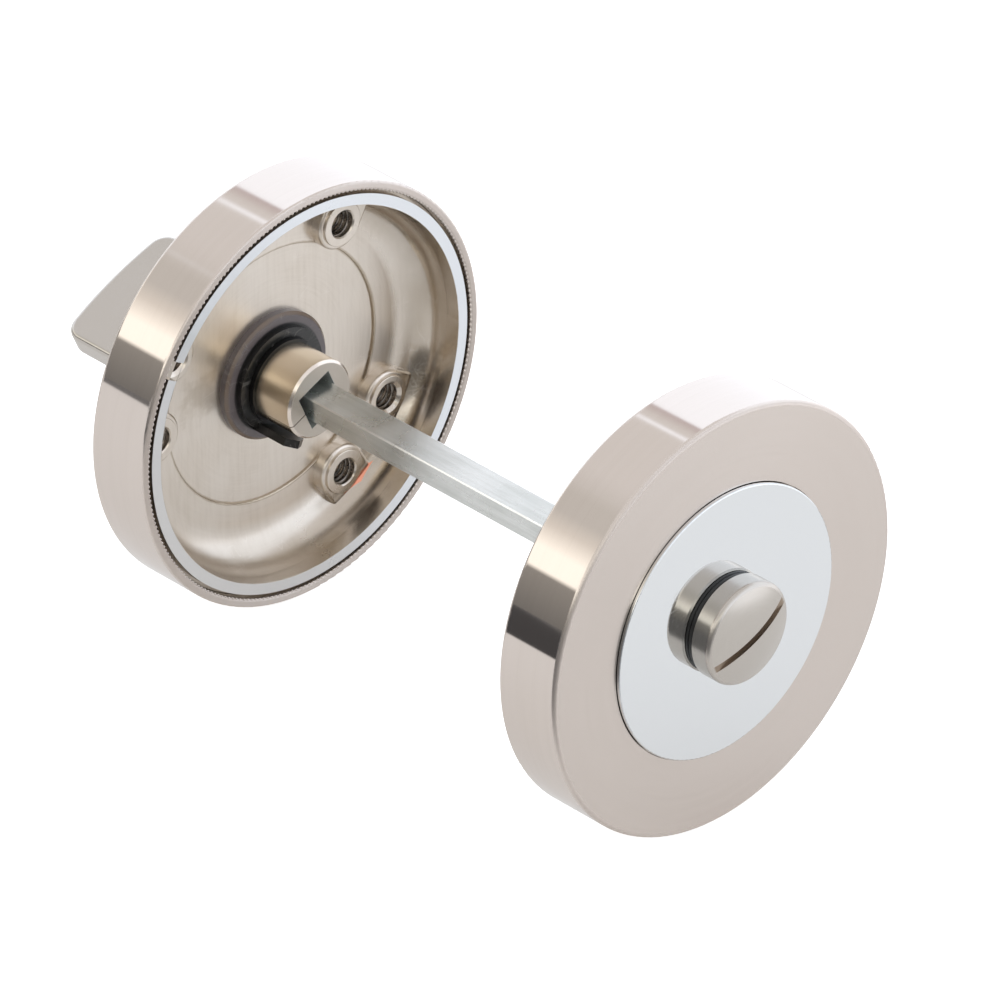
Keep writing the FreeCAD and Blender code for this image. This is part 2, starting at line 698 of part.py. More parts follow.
os.makedirs("parts", exist_ok=True)
for node in NODES:
    node.Shape.exportStep(os.path.join("parts", node.Label + ".step"))
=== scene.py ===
# %% [markdown]
# The object is a bathroom lock set: two round roses on one square spindle, a thumb turn on the inside
# and a coin slot button on the outside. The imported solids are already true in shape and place, so this
# script gives them their finishes and adds what is too fine for a solid: beads, threads and burrs.
# Everything is placed in metres, in the frame of the solids, with +X along the spindle and +Z up. Most
# sizes are written in millimetres and scaled by MM.

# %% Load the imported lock
import math

import bmesh
import bpy
import numpy as np
from mathutils import Matrix, Vector


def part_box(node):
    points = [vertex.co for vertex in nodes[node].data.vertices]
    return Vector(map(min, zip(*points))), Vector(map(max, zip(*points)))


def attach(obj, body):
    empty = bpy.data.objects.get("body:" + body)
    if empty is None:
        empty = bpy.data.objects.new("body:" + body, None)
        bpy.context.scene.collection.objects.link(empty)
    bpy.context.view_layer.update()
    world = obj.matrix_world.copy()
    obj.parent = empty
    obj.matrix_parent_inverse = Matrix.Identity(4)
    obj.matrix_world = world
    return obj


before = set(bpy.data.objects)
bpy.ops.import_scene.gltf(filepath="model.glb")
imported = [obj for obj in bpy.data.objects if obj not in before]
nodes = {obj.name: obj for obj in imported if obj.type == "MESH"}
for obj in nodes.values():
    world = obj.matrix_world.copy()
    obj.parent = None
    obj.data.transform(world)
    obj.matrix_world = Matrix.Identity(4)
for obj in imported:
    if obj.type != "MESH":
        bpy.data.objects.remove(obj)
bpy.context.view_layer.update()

print("packed nodes:", ", ".join(sorted(nodes)))

# %% [markdown]
# Some places come straight from the solids. The door faces of the two roses are the inner ends of their
# covers, and halfway between them lies the plane that turns one rose into the other.

# %% Measure the roses
MM = 0.001
turn_cover_low, turn_cover_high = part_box("turn_cover")
release_cover_low, release_cover_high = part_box("release_cover")
turn_door_face = turn_cover_high.x
release_door_face = release_cover_low.x
middle = (turn_door_face + release_door_face) / 2
half_gap = (release_door_face - turn_door_face) / 2
floor_height = turn_cover_low.z
print(f"door gap {2 * half_gap / MM:.1f} mm, floor at {floor_height / MM:.1f} mm")

# %% [markdown]
# The camera stands a long way off with a long lens, so that the two roses look nearly the same size. It is
# placed by two angles and a distance from a point on the spindle, and its own axes are then written down
# as sines and cosines of the angles.

# %% Set the camera
VIEW_AZIMUTH = math.radians(45.84)
VIEW_ELEVATION = math.radians(32.15)
VIEW_DISTANCE = 1.321
VIEW_TARGET = Vector((28 * MM, 0, 0))
VIEW_RIGHT = 1.66 * MM
VIEW_UP = -1.09 * MM
LENS = 427.2
NEAREST = 10 * MM

azimuth_sine, azimuth_cosine = math.sin(VIEW_AZIMUTH), math.cos(VIEW_AZIMUTH)
height_sine, height_cosine = math.sin(VIEW_ELEVATION), math.cos(VIEW_ELEVATION)
view_back = Vector((azimuth_sine * height_cosine, -azimuth_cosine * height_cosine, height_sine))
view_right = Vector((azimuth_cosine, azimuth_sine, 0))
view_up = view_back.cross(view_right)
view_axes = Matrix((view_right, view_up, view_back)).transposed()
eye = VIEW_TARGET + VIEW_DISTANCE * view_back + VIEW_RIGHT * view_right + VIEW_UP * view_up

camera = bpy.data.objects.new("camera", bpy.data.cameras.new("camera"))
bpy.context.scene.collection.objects.link(camera)
camera.data.lens = LENS
camera.data.clip_start = NEAREST
camera.matrix_world = Matrix.Translation(eye) @ view_axes.to_4x4()
bpy.context.scene.camera = camera
bpy.context.scene.view_settings.view_transform = "Standard"
print("camera at", [round(value, 4) for value in eye])

# %% [markdown]
# Shader trees are easier to read when a value can be passed on like a number. These helpers make one
# node each and return its output, and whatever is given to them may be a number, a colour or an output.

# %% Helpers for shader nodes
def feed(tree, socket, value):
    """Gives a socket a number or colour, or links it to another node's output."""
    if isinstance(value, bpy.types.NodeSocket):
        tree.links.new(value, socket)
    else:
        socket.default_value = value


def place(tree, kind, inputs=(), **settings):
    """One node with its settings, and its inputs given as pairs of a name or number and a value."""
    node = tree.nodes.new(kind)
    for name, value in settings.items():
        setattr(node, name, value)
    for key, value in dict(inputs).items():
        feed(tree, node.inputs[key], value)
    return node


def maths(tree, operation, *values):
    """A Math node: one operation on one, two or three values."""
    return place(tree, "ShaderNodeMath", enumerate(values), operation=operation).outputs[0]


def ramp(tree, value, low, high, out_low=0.0, out_high=1.0):
    """Goes smoothly from out_low to out_high while value goes from low to high."""
    inputs = {"Value": value, "From Min": low, "From Max": high, "To Min": out_low, "To Max": out_high}
    return place(tree, "ShaderNodeMapRange", inputs, interpolation_type="SMOOTHSTEP").outputs[0]


def mix(tree, share, first, second):
    """A colour between first and second, by share."""
    node = place(tree, "ShaderNodeMix", data_type="RGBA")
    for index, value in ((0, share), (6, first), (7, second)):
        feed(tree, node.inputs[index], value)
    return node.outputs[2]


def noise(tree, vector, scale, detail=2.0, w=None):
    """Noise between 0 and 1, in three dimensions, or in four where w is given."""
    inputs = {"Vector": vector, "Scale": scale, "Detail": detail}
    if w is not None:
        inputs["W"] = w
    dimensions = "3D" if w is None else "4D"
    return place(tree, "ShaderNodeTexNoise", inputs, noise_dimensions=dimensions).outputs[0]


def stretched(tree, vector, scale, rotation=(0, 0, 0)):
    """A point turned and scaled, so that a pattern on it comes out turned and drawn long."""
    inputs = {"Vector": vector, "Rotation": rotation, "Scale": scale}
    return place(tree, "ShaderNodeMapping", inputs).outputs[0]


def colour(red, green, blue):
    """A colour for a socket, with full cover."""
    return (red, green, blue, 1.0)


print("node helpers ready")

# %% [markdown]
# A finish is built up the same way again and again: masks are multiplied, a tone is shifted where a mask
# is 1, and a roughness is raised there. Each of these steps gets a short name of its own.

# %% Helpers for masks, tones and roughness
def times(tree, first, *others):
    """The product of two or more values."""
    product = first
    for value in others:
        product = maths(tree, "MULTIPLY", product, value)
    return product


def fall(tree, value, low, high):
    """Goes smoothly from 1 to 0 while value goes from low to high."""
    return ramp(tree, value, low, high, 1.0, 0.0)


def tint(tree, tone, mask, shade, share):
    """A tone shifted towards a shade where the mask is 1, by the share at most."""
    return mix(tree, times(tree, mask, share), tone, shade)


def raised(tree, value, mask, amount):
    """A value raised by an amount where the mask is 1."""
    return maths(tree, "ADD", value, times(tree, mask, amount))


def off_place(tree, vector, direction, place_along=0.0):
    """How far a point lies from a place along a direction, in mm, whichever way."""
    dot = place(tree, "ShaderNodeVectorMath", {0: vector, 1: direction}, operation="DOT_PRODUCT")
    along = maths(tree, "DIVIDE", dot.outputs["Value"], MM)
    return maths(tree, "ABSOLUTE", maths(tree, "SUBTRACT", along, place_along))


print("mask helpers ready")

# %% [markdown]
# Effects that several finishes share are node groups. A group has named inputs with defaults, so that each
# finish sets only its own values, and it puts out masks and values for the finish to use.

# %% Helpers for node groups
def spaced(values):
    """The same values under socket names, which have a space where Python's names have _."""
    return {name.replace("_", " "): value for name, value in values.items()}


def new_group(name, inputs, outputs):
    """An empty node group with named inputs, each with its default, and named number outputs."""
    tree = bpy.data.node_groups.new(name, "ShaderNodeTree")
    for label, default in inputs.items():
        if isinstance(default, float):
            socket = tree.interface.new_socket(label, in_out="INPUT", socket_type="NodeSocketFloat")
            socket.default_value = default
        else:
            tree.interface.new_socket(label, in_out="INPUT", socket_type="NodeSocketVector")
    for label in outputs:
        tree.interface.new_socket(label, in_out="OUTPUT", socket_type="NodeSocketFloat")
    start = tree.nodes.new("NodeGroupInput")
    end = tree.nodes.new("NodeGroupOutput")
    return tree, start.outputs, end.inputs


def use_group(tree, group, **inputs):
    """Places a group and returns its outputs."""
    return place(tree, "ShaderNodeGroup", spaced(inputs), node_tree=group).outputs


print("group helpers ready")

# %% [markdown]
# Nearly every piece of this lock was turned on a lathe round the spindle's axis, so its marks follow
# rings. This group turns a point into lathe terms, in millimetres: how deep it lies behind the door face
# of its own rose, and how far it is from the axis. Folding X at the middle plane makes it serve both
# roses. The direction round the axis comes out as a cosine and a sine, which have no seam.

# %% Group: lathe places
ON_AXIS = 1e-6

lathe, given, made = new_group("lathe_places", {"Vector": Vector()}, ("Depth", "Radius", "Cosine", "Sine"))
split = place(lathe, "ShaderNodeSeparateXYZ", {"Vector": given["Vector"]}).outputs
from_middle = maths(lathe, "ABSOLUTE", maths(lathe, "SUBTRACT", split["X"], middle))
behind_door = maths(lathe, "SUBTRACT", from_middle, half_gap)
squares = maths(lathe, "ADD", maths(lathe, "POWER", split["Y"], 2), maths(lathe, "POWER", split["Z"], 2))
from_axis = maths(lathe, "MAXIMUM", maths(lathe, "SQRT", squares), ON_AXIS)
feed(lathe, made["Depth"], maths(lathe, "DIVIDE", behind_door, MM))
feed(lathe, made["Radius"], maths(lathe, "DIVIDE", from_axis, MM))
feed(lathe, made["Cosine"], maths(lathe, "DIVIDE", split["Y"], from_axis))
feed(lathe, made["Sine"], maths(lathe, "DIVIDE", split["Z"], from_axis))
print("group", lathe.name)

# %% [markdown]
# Brushed and turned metal has fine lines round the axis. Noise in four dimensions draws them: depth and
# radius count for much, the direction for little, so each line runs far round the ring before it fades.

# %% Group: turned lines
turned_lines, given, made = new_group(
    "turned_lines", {"Vector": Vector(), "Lines per mm": 3.0, "Breaks": 2.0}, ("Line",))
where = use_group(turned_lines, lathe, Vector=given["Vector"])
lines_deep = times(turned_lines, where["Depth"], given["Lines per mm"])
lines_out = times(turned_lines, where["Radius"], given["Lines per mm"])
round_cosine = times(turned_lines, where["Cosine"], given["Breaks"])
round_sine = times(turned_lines, where["Sine"], given["Breaks"])
point = place(turned_lines, "ShaderNodeCombineXYZ", {"X": lines_deep, "Y": round_cosine, "Z": round_sine})
feed(turned_lines, made["Line"], noise(turned_lines, point.outputs[0], 1.0, 3.0, w=lines_out))
print("group", turned_lines.name)

# %% [markdown]
# Handling polishes sharp edges first. On turned pieces every edge is a circle, so an edge ring is simply
# everything near one depth and one radius, and this group measures that. The finishes use it for worn edges,
# and also for painted highlights and painted shade lines along edges. Noise makes the ring uneven.

# %% Group: edge ring, for worn edges and painted edge light and shade
RING_SCALE = 900.0
RING_LEAST, RING_UNEVEN = 0.7, 0.6
RING_FULL = 0.4

edge_ring, given, made = new_group(
    "edge_ring", {"Vector": Vector(), "Depth": 0.0, "Radius": 10.0, "Width": 0.3}, ("Mask",))
where = use_group(edge_ring, lathe, Vector=given["Vector"])
off_depth = maths(edge_ring, "POWER", maths(edge_ring, "SUBTRACT", where["Depth"], given["Depth"]), 2)
off_radius = maths(edge_ring, "POWER", maths(edge_ring, "SUBTRACT", where["Radius"], given["Radius"]), 2)
off_ring = maths(edge_ring, "SQRT", maths(edge_ring, "ADD", off_depth, off_radius))
ragged = raised(edge_ring, RING_LEAST, noise(edge_ring, given["Vector"], RING_SCALE), RING_UNEVEN)
off_ring = maths(edge_ring, "DIVIDE", off_ring, times(edge_ring, given["Width"], ragged))
feed(edge_ring, made["Mask"], fall(edge_ring, off_ring, RING_FULL, 1.0))
print("group", edge_ring.name)

# %% [markdown]
# Smudges are soft clouds that come and go, and hairlines are scratches. A hairline is the thin contour
# where stretched noise passes its middle value, and three of them cross, each turned and stretched in its
# own way. A second noise keeps them only in patches.

# %% Groups: smudges and hairlines
smudges, given, made = new_group(
    "smudges", {"Vector": Vector(), "Scale": 150.0, "From": 0.5, "To": 0.7}, ("Mask",))
cloud = noise(smudges, given["Vector"], given["Scale"], 4.0)
feed(smudges, made["Mask"], ramp(smudges, cloud, given["From"], given["To"]))

NOISE_MIDDLE = 0.5
CROSSING_WAYS = ((0.5, (1, 7, 2)), (1.9, (6, 1, 2)), (2.6, (2, 1, 8)))
PATCH_SCALE = 4.0
PATCH_FROM, PATCH_TO = 0.48, 0.6

hairlines, given, made = new_group(
    "hairlines", {"Vector": Vector(), "Scale": 60.0, "Thickness": 0.006, "Cover": 0.5}, ("Mask",))
crossing = 0.0
for turn, stretch in CROSSING_WAYS:
    drawn = stretched(hairlines, given["Vector"], stretch, (turn, 2 * turn, 3 * turn))
    level = maths(hairlines, "SUBTRACT", noise(hairlines, drawn, given["Scale"], 1.0), NOISE_MIDDLE)
    off_contour = maths(hairlines, "DIVIDE", maths(hairlines, "ABSOLUTE", level), given["Thickness"])
    crossing = maths(hairlines, "MAXIMUM", crossing, fall(hairlines, off_contour, 0.0, 1.0))
patch = noise(hairlines, given["Vector"], times(hairlines, given["Scale"], PATCH_SCALE), 1.0)
patch = maths(hairlines, "ADD", patch, maths(hairlines, "SUBTRACT", given["Cover"], NOISE_MIDDLE))
patch = ramp(hairlines, patch, PATCH_FROM, PATCH_TO)
feed(hairlines, made["Mask"], times(hairlines, crossing, patch))
print("groups", smudges.name, "and", hairlines.name)

# %% [markdown]
# Some marks sit at one place only, such as a stain. A spot is everything within reach of its centre, and
# noise added to the distance gives it a ragged edge.

# %% Group: spot
SPOT_SCALE = 500.0
SPOT_WANDER = 4.0
SPOT_FULL = 0.2

spot, given, made = new_group(
    "spot", {"Vector": Vector(), "Centre": Vector(), "Reach": 3.0, "Ragged": 0.5}, ("Mask",))
gap = place(spot, "ShaderNodeVectorMath", {0: given["Vector"], 1: given["Centre"]}, operation="DISTANCE")
gap = maths(spot, "DIVIDE", gap.outputs["Value"], times(spot, given["Reach"], MM))
wander = maths(spot, "SUBTRACT", noise(spot, given["Vector"], SPOT_SCALE, 4.0), NOISE_MIDDLE)
gap = raised(spot, gap, wander, times(spot, given["Ragged"], SPOT_WANDER))
feed(spot, made["Mask"], fall(spot, gap, SPOT_FULL, 1.0))
print("group", spot.name)

# %% [markdown]
# A finish is one material: a metal or plastic with its own colour, and masks from the groups that shift
# its colour and roughness and raise its fine lines. The frame for it is the same each time.

# %% Start and end of a finish
QUARTER_TURN = 0.25


def start_finish(name, **plain):
    """A material with its Principled BSDF, and the point of the surface in the frame of the solids."""
    material = bpy.data.materials.new(name)
    material.use_nodes = True
    tree = material.node_tree
    tree.nodes.clear()
    surface = place(tree, "ShaderNodeBsdfPrincipled", spaced(plain))
    place(tree, "ShaderNodeOutputMaterial", {"Surface": surface.outputs[0]})
    vector = tree.nodes.new("ShaderNodeTexCoord").outputs["Object"]
    return material, tree, surface, vector


def brushed_round(tree, surface, anisotropic):
    """Draws reflections out across the brushed lines, which run round the X axis."""
    surface.inputs["Anisotropic"].default_value = anisotropic
    surface.inputs["Anisotropic Rotation"].default_value = QUARTER_TURN
    tangent = place(tree, "ShaderNodeTangent", direction_type="RADIAL", axis="X")
    feed(tree, surface.inputs["Tangent"], tangent.outputs[0])


def relief(tree, surface, height, depth):
    """Fine relief of the surface: height between 0 and 1 stands for depth in mm."""
    bump = place(tree, "ShaderNodeBump", {"Height": height, "Distance": depth * MM, "Strength": 1.0})
    feed(tree, surface.inputs["Normal"], bump.outputs[0])


def dress(material, *names):
    """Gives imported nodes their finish."""
    for name in names:
        node = nodes[name]
        node.data.materials.clear()
        node.data.materials.append(material)
    print(material.name, "on", ", ".join(names))


print("finish helpers ready")

# %% [markdown]
# The covers are spun brass with a nickel plate. Their faces are satin and even, with hardly a line to be
# seen. The side walls are polished nearer to a mirror, so the bands of the studio show in them with sharp
# ends, while the fine lines round the axis draw each band out along X: an anisotropic surface does that.

# %% Finish: satin nickel
NICKEL = colour(0.650, 0.583, 0.532)
NICKEL_HIGHLIGHT = colour(0.730, 0.668, 0.620)
NICKEL_DULL = colour(0.610, 0.542, 0.490)
COVER_DEPTH = (turn_door_face - turn_cover_low.x) / MM
ROSE_RADIUS = turn_cover_high.y / MM
LIP_RADIUS = ROSE_RADIUS - 0.5
FACE_ENDS, WALL_STARTS = ROSE_RADIUS - 0.25, ROSE_RADIUS - 0.05
FACE_ROUGHNESS, WALL_ROUGHNESS = 0.25, 0.045

satin_nickel, tree, surface, vector = start_finish("satin_nickel", Metallic=1.0)
brushed_round(tree, surface, 0.7)
where = use_group(tree, lathe, Vector=vector)
fine = use_group(tree, turned_lines, Vector=vector, Lines_per_mm=6.0, Breaks=1.5)["Line"]
broad = use_group(tree, turned_lines, Vector=vector, Lines_per_mm=1.3, Breaks=1.2)["Line"]
cloud = use_group(tree, smudges, Vector=vector, Scale=70.0, From=0.45, To=0.75)["Mask"]
edge = use_group(tree, edge_ring, Vector=vector, Depth=COVER_DEPTH, Radius=ROSE_RADIUS, Width=0.6)["Mask"]
lip = use_group(tree, edge_ring, Vector=vector, Depth=0.0, Radius=LIP_RADIUS, Width=0.75)["Mask"]
# Painted highlight: the cover's front edge and its lip are tinted paler, and made rougher there.
edge_highlight = maths(tree, "MAXIMUM", edge, lip)
streaked = mix(tree, ramp(tree, fine, 0.25, 0.75), NICKEL_DULL, NICKEL)
tone = mix(tree, times(tree, ramp(tree, broad, 0.3, 0.7), 0.5), NICKEL, streaked)
tone = tint(tree, tone, edge_highlight, NICKEL_HIGHLIGHT, 0.15)
feed(tree, surface.inputs["Base Color"], tone)
rough = ramp(tree, where["Radius"], FACE_ENDS, WALL_STARTS, FACE_ROUGHNESS, WALL_ROUGHNESS)
rough = raised(tree, rough, fine, 0.012)
rough = raised(tree, rough, edge_highlight, 0.35)
rough = raised(tree, rough, cloud, 0.015)
feed(tree, surface.inputs["Roughness"], rough)
relief(tree, surface, fine, 0.00005)
dress(satin_nickel, "turn_cover", "release_cover")

# %% [markdown]
# The discs are chromed and polished to a mirror. What shows on them is what they mirror and a few wipe marks
# that blur it a little. A thin grey line is painted round the edge where the polish rounds over, a painted
# reflection of the rounded edge.

# %% Finish: polished chrome
CHROME = colour(0.765, 0.780, 0.785)
CHROME_EDGE_REFLECTION = colour(0.46, 0.48, 0.50)
MIRROR_ROUGHNESS = 0.03
disc_low, disc_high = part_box("release_disc")
DISC_RADIUS = disc_high.y / MM
DISC_DEPTH = (disc_high.x - release_door_face) / MM

polished_chrome, tree, surface, vector = start_finish("polished_chrome", Metallic=1.0)
wipe = use_group(tree, smudges, Vector=vector, Scale=110.0, From=0.48, To=0.8)["Mask"]
scratch = use_group(tree, hairlines, Vector=vector, Scale=50.0, Thickness=0.004, Cover=0.42)["Mask"]
edge = use_group(tree, edge_ring, Vector=vector, Depth=DISC_DEPTH, Radius=DISC_RADIUS, Width=0.16)["Mask"]
# Painted reflection: a grey line round the disc's rounded edge.
feed(tree, surface.inputs["Base Color"], tint(tree, CHROME, edge, CHROME_EDGE_REFLECTION, 0.5))
rough = raised(tree, MIRROR_ROUGHNESS, wipe, 0.035)
rough = raised(tree, rough, edge, 0.40)
rough = raised(tree, rough, scratch, 0.12)
feed(tree, surface.inputs["Roughness"], rough)
relief(tree, surface, scratch, 0.0004)
dress(polished_chrome, "turn_disc", "release_disc")

# %% [markdown]
# The castings are zinc, turned inside and nickel plated. Before they get their tone, their marks are laid
# out as masks: fine upright brush marks and faint rings, scratches with whiskers round one boss, a brown
# stain beside the bush and one at a boss. A point of the turn's rose is given by radius, angle and depth.

# %% Marks on the castings
UPRIGHT = (1, 1, 0.08)
BRUSH_SCALE = 1900.0


def polar(radius, degrees, depth):
    """A point of the turn's rose, in metres, by radius, angle from +Y towards +Z, and depth."""
    angle = math.radians(degrees)
    return Vector((-depth * MM, radius * MM * math.cos(angle), radius * MM * math.sin(angle)))


cast_nickel, tree, surface, vector = start_finish("cast_nickel", Metallic=1.0)
brushed_round(tree, surface, 0.35)
where = use_group(tree, lathe, Vector=vector)
fine = use_group(tree, turned_lines, Vector=vector, Lines_per_mm=4.0, Breaks=3.0)["Line"]
brushed = noise(tree, stretched(tree, vector, UPRIGHT), BRUSH_SCALE, 3.0)
line = maths(tree, "ADD", times(tree, fine, 0.4), times(tree, brushed, 0.6))
cloud = use_group(tree, smudges, Vector=vector, Scale=110.0, From=0.4, To=0.75)["Mask"]
grime = use_group(tree, smudges, Vector=vector, Scale=330.0, From=0.58, To=0.85)["Mask"]
scratch = use_group(tree, hairlines, Vector=vector, Scale=80.0, Thickness=0.007, Cover=0.44)["Mask"]
whisker = use_group(tree, hairlines, Vector=vector, Scale=130.0, Thickness=0.012, Cover=0.7)["Mask"]
near_boss = use_group(tree, spot, Vector=vector, Centre=polar(22.0, 335, 4.6), Reach=6.0, Ragged=0.3)["Mask"]
marks = maths(tree, "MAXIMUM", times(tree, scratch, 0.5), times(tree, whisker, near_boss))
by_bush = use_group(tree, spot, Vector=vector, Centre=polar(10.2, 172, 6.9), Reach=4.6, Ragged=0.5)["Mask"]
by_boss = use_group(tree, spot, Vector=vector, Centre=polar(22.4, 342, 4.0), Reach=3.0, Ragged=0.6)["Mask"]
stained = maths(tree, "MAXIMUM", by_bush, by_boss)
print("marks on the castings ready")

# %% [markdown]
# The edge of one boss was filed through to a thin wedge of copper, the plate's lowest layer. Its mask is the
# strip beside one line across the bowl, which narrows towards its ends, between two depths and on the turn's
# rose only. The rim was ground flat, and a fine dark line runs round the step into the sunk floor, partly
# painted shade in the step's corner.

# %% Filed edge, ground rim and floor step
FILED_DEGREES, FILED_RADIUS, FILED_MIDDLE = 300, 21.75, 1.0
FILED_WIDE, FILED_TAPER, FILED_SOFT = 0.42, 0.17, 0.08
FILED_TOP, FILED_FOOT, FILED_BLUR = 4.62, 5.3, 0.1
TURN_ROSE_SURE, TURN_ROSE_PAST = 10.0, 12.0
RIM_DEPTH, RIM_INSIDE, RIM_OUTSIDE = 0.15, 23.1, 24.45
RIM_HALF_SURE, RIM_HALF_PAST = 0.64, 0.70
RIM_SURE, RIM_PAST = RIM_DEPTH + 0.06, RIM_DEPTH + 0.12
STEP_RADIUS, STEP_DEPTH = 16.0, 6.75

outward = polar(1, FILED_DEGREES, 0) / MM
crosswise = polar(1, FILED_DEGREES + 90, 0) / MM
off_line = raised(tree, off_place(tree, vector, outward, FILED_RADIUS),
                  off_place(tree, vector, crosswise, FILED_MIDDLE), FILED_TAPER)
above_foot = fall(tree, where["Depth"], FILED_FOOT - FILED_BLUR, FILED_FOOT)
below_top = ramp(tree, where["Depth"], FILED_TOP, FILED_TOP + FILED_BLUR)
on_turn_rose = fall(tree, off_place(tree, vector, (1, 0, 0)), TURN_ROSE_SURE, TURN_ROSE_PAST)
filed = fall(tree, off_line, FILED_WIDE, FILED_WIDE + FILED_SOFT)
filed = times(tree, filed, above_foot, below_top, on_turn_rose)

off_rim = maths(tree, "ABSOLUTE", maths(tree, "SUBTRACT", where["Radius"], (RIM_INSIDE + RIM_OUTSIDE) / 2))
rim_high = fall(tree, where["Depth"], RIM_SURE, RIM_PAST)
on_rim = times(tree, fall(tree, off_rim, RIM_HALF_SURE, RIM_HALF_PAST), rim_high)
step = use_group(tree, edge_ring, Vector=vector, Depth=STEP_DEPTH, Radius=STEP_RADIUS, Width=0.34)["Mask"]
print("masks for the filed edge, the rim and the step ready")

# %% [markdown]
# Seen from the door side the castings are a soft satin. The wall of the bowl is painted darker than its
# floor, a painted shade, and painted darker still towards +Y, where it is also glossier because the
# polishing wheel reached it. The ground rim is nearly white, and painted shade darkens it a little on its
# low side.

# %% Finish: cast nickel
CAST = colour(0.715, 0.650, 0.575)
CAST_DULL = colour(0.600, 0.535, 0.460)
CAST_PALE = colour(0.800, 0.750, 0.690)
CAST_SHADE = colour(0.430, 0.375, 0.310)
STAIN_AND_SHADE = colour(0.330, 0.255, 0.165)
GROUND = colour(0.780, 0.805, 0.835)
COPPER = colour(0.860, 0.370, 0.250)
CAST_ROUGHNESS = 0.27
WALL_SHADE_FROM, WALL_SHADE_TO = 18.5, 22.0
POLISH_SHADE_FROM, POLISH_SHADE_TO = 18.0, 22.5

polish_and_shade = ramp(tree, where["Radius"], POLISH_SHADE_FROM, POLISH_SHADE_TO)
polish_and_shade = times(tree, polish_and_shade, ramp(tree, where["Cosine"], -0.1, 0.7))
low_side = maths(tree, "ADD", where["Cosine"], where["Sine"])
# Painted shade: the ground rim is darkened towards its low side.
rim_with_low_shade = mix(tree, ramp(tree, low_side, -1.2, 0.3, 0.35, 0.0), GROUND, CAST_DULL)
tone = mix(tree, ramp(tree, line, 0.0, 0.7), CAST_DULL, CAST)
# Painted shade: the bowl's wall is darkened towards its outer radius.
tone = mix(tree, ramp(tree, where["Radius"], WALL_SHADE_FROM, WALL_SHADE_TO, 0.0, 0.55), tone, CAST_SHADE)
# Painted shade: darker still towards +Y, where the same mask also makes the wall glossier.
tone = tint(tree, tone, polish_and_shade, CAST_SHADE, 0.35)
tone = tint(tree, tone, cloud, CAST_PALE, 0.35)
tone = tint(tree, tone, grime, CAST_DULL, 0.20)
tone = tint(tree, tone, stained, STAIN_AND_SHADE, 0.38)
# Painted shade, in part: a dark line along the step into the sunk floor.
tone = tint(tree, tone, step, STAIN_AND_SHADE, 0.6)
tone = tint(tree, tone, marks, CAST_PALE, 0.5)
tone = mix(tree, filed, tone, COPPER)
tone = mix(tree, on_rim, tone, rim_with_low_shade)
feed(tree, surface.inputs["Base Color"], tone)
rough = raised(tree, CAST_ROUGHNESS, polish_and_shade, -0.13)
rough = raised(tree, rough, line, 0.06)
rough = raised(tree, rough, grime, 0.08)
feed(tree, surface.inputs["Roughness"], rough)
relief(tree, surface, maths(tree, "SUBTRACT", line, marks), 0.0008)
dress(cast_nickel, "turn_casting", "release_casting")

# %% [markdown]
# The bushes are dark moulded nylon that carries the shaft. They are slightly glossy and scuffed where the
# shaft has been pushed through. Their flange face is painted grey as a painted sheen, and a thin brown
# highlight is painted along its outer edge.

# %% Finish: moulded nylon
NYLON = colour(0.012, 0.012, 0.011)
NYLON_DUST_AND_SHEEN = colour(0.125, 0.106, 0.108)
NYLON_EDGE_HIGHLIGHT = colour(0.200, 0.140, 0.090)
NYLON_SCUFFED = colour(0.35, 0.33, 0.31)
NYLON_IOR = 1.53
NYLON_ROUGHNESS = 0.28
FLANGE_FROM, FLANGE_TO = 6.5, 6.8
FLANGE_RADIUS, FLANGE_DEPTH = 7.9, 5.8

moulded_nylon, tree, surface, vector = start_finish("moulded_nylon", IOR=NYLON_IOR)
where = use_group(tree, lathe, Vector=vector)
flange_highlight = use_group(tree, edge_ring, Vector=vector, Depth=FLANGE_DEPTH, Radius=FLANGE_RADIUS, Width=0.5)["Mask"]
scuff = use_group(tree, hairlines, Vector=vector, Scale=160.0, Thickness=0.012, Cover=0.5)["Mask"]
dust = use_group(tree, smudges, Vector=vector, Scale=500.0, From=0.5, To=0.75)["Mask"]
# Painted sheen: the flange face is painted grey, lighter than the rest of the nylon.
tone = mix(tree, ramp(tree, where["Radius"], FLANGE_FROM, FLANGE_TO), NYLON, NYLON_DUST_AND_SHEEN)
tone = tint(tree, tone, dust, NYLON_DUST_AND_SHEEN, 0.15)
# Painted highlight: a thin brown line along the flange's outer edge.
tone = tint(tree, tone, flange_highlight, NYLON_EDGE_HIGHLIGHT, 0.7)
tone = tint(tree, tone, scuff, NYLON_SCUFFED, 0.25)
feed(tree, surface.inputs["Base Color"], tone)
rough = raised(tree, NYLON_ROUGHNESS, dust, 0.15)
feed(tree, surface.inputs["Roughness"], raised(tree, rough, scuff, 0.2))
relief(tree, surface, maths(tree, "SUBTRACT", dust, scuff), 0.004)
dress(moulded_nylon, "turn_bush", "release_bush")

# %% [markdown]
# The washers under the heads are black rubber, and the snap rings are blued spring steel. Both show
# only as thin lines, so a matt black with dust and a dark metal with faint lines are enough.

# %% Finishes: black rubber and spring steel
RUBBER, RUBBER_DUSTY = colour(0.012, 0.012, 0.012), colour(0.045, 0.043, 0.040)
RUBBER_ROUGHNESS = 0.42

black_rubber, tree, surface, vector = start_finish("black_rubber")
dust = use_group(tree, smudges, Vector=vector, Scale=700.0, From=0.45, To=0.8)["Mask"]
feed(tree, surface.inputs["Base Color"], tint(tree, RUBBER, dust, RUBBER_DUSTY, 0.5))
feed(tree, surface.inputs["Roughness"], raised(tree, RUBBER_ROUGHNESS, dust, 0.25))
relief(tree, surface, dust, 0.01)
dress(black_rubber, "turn_washer", "release_washer")

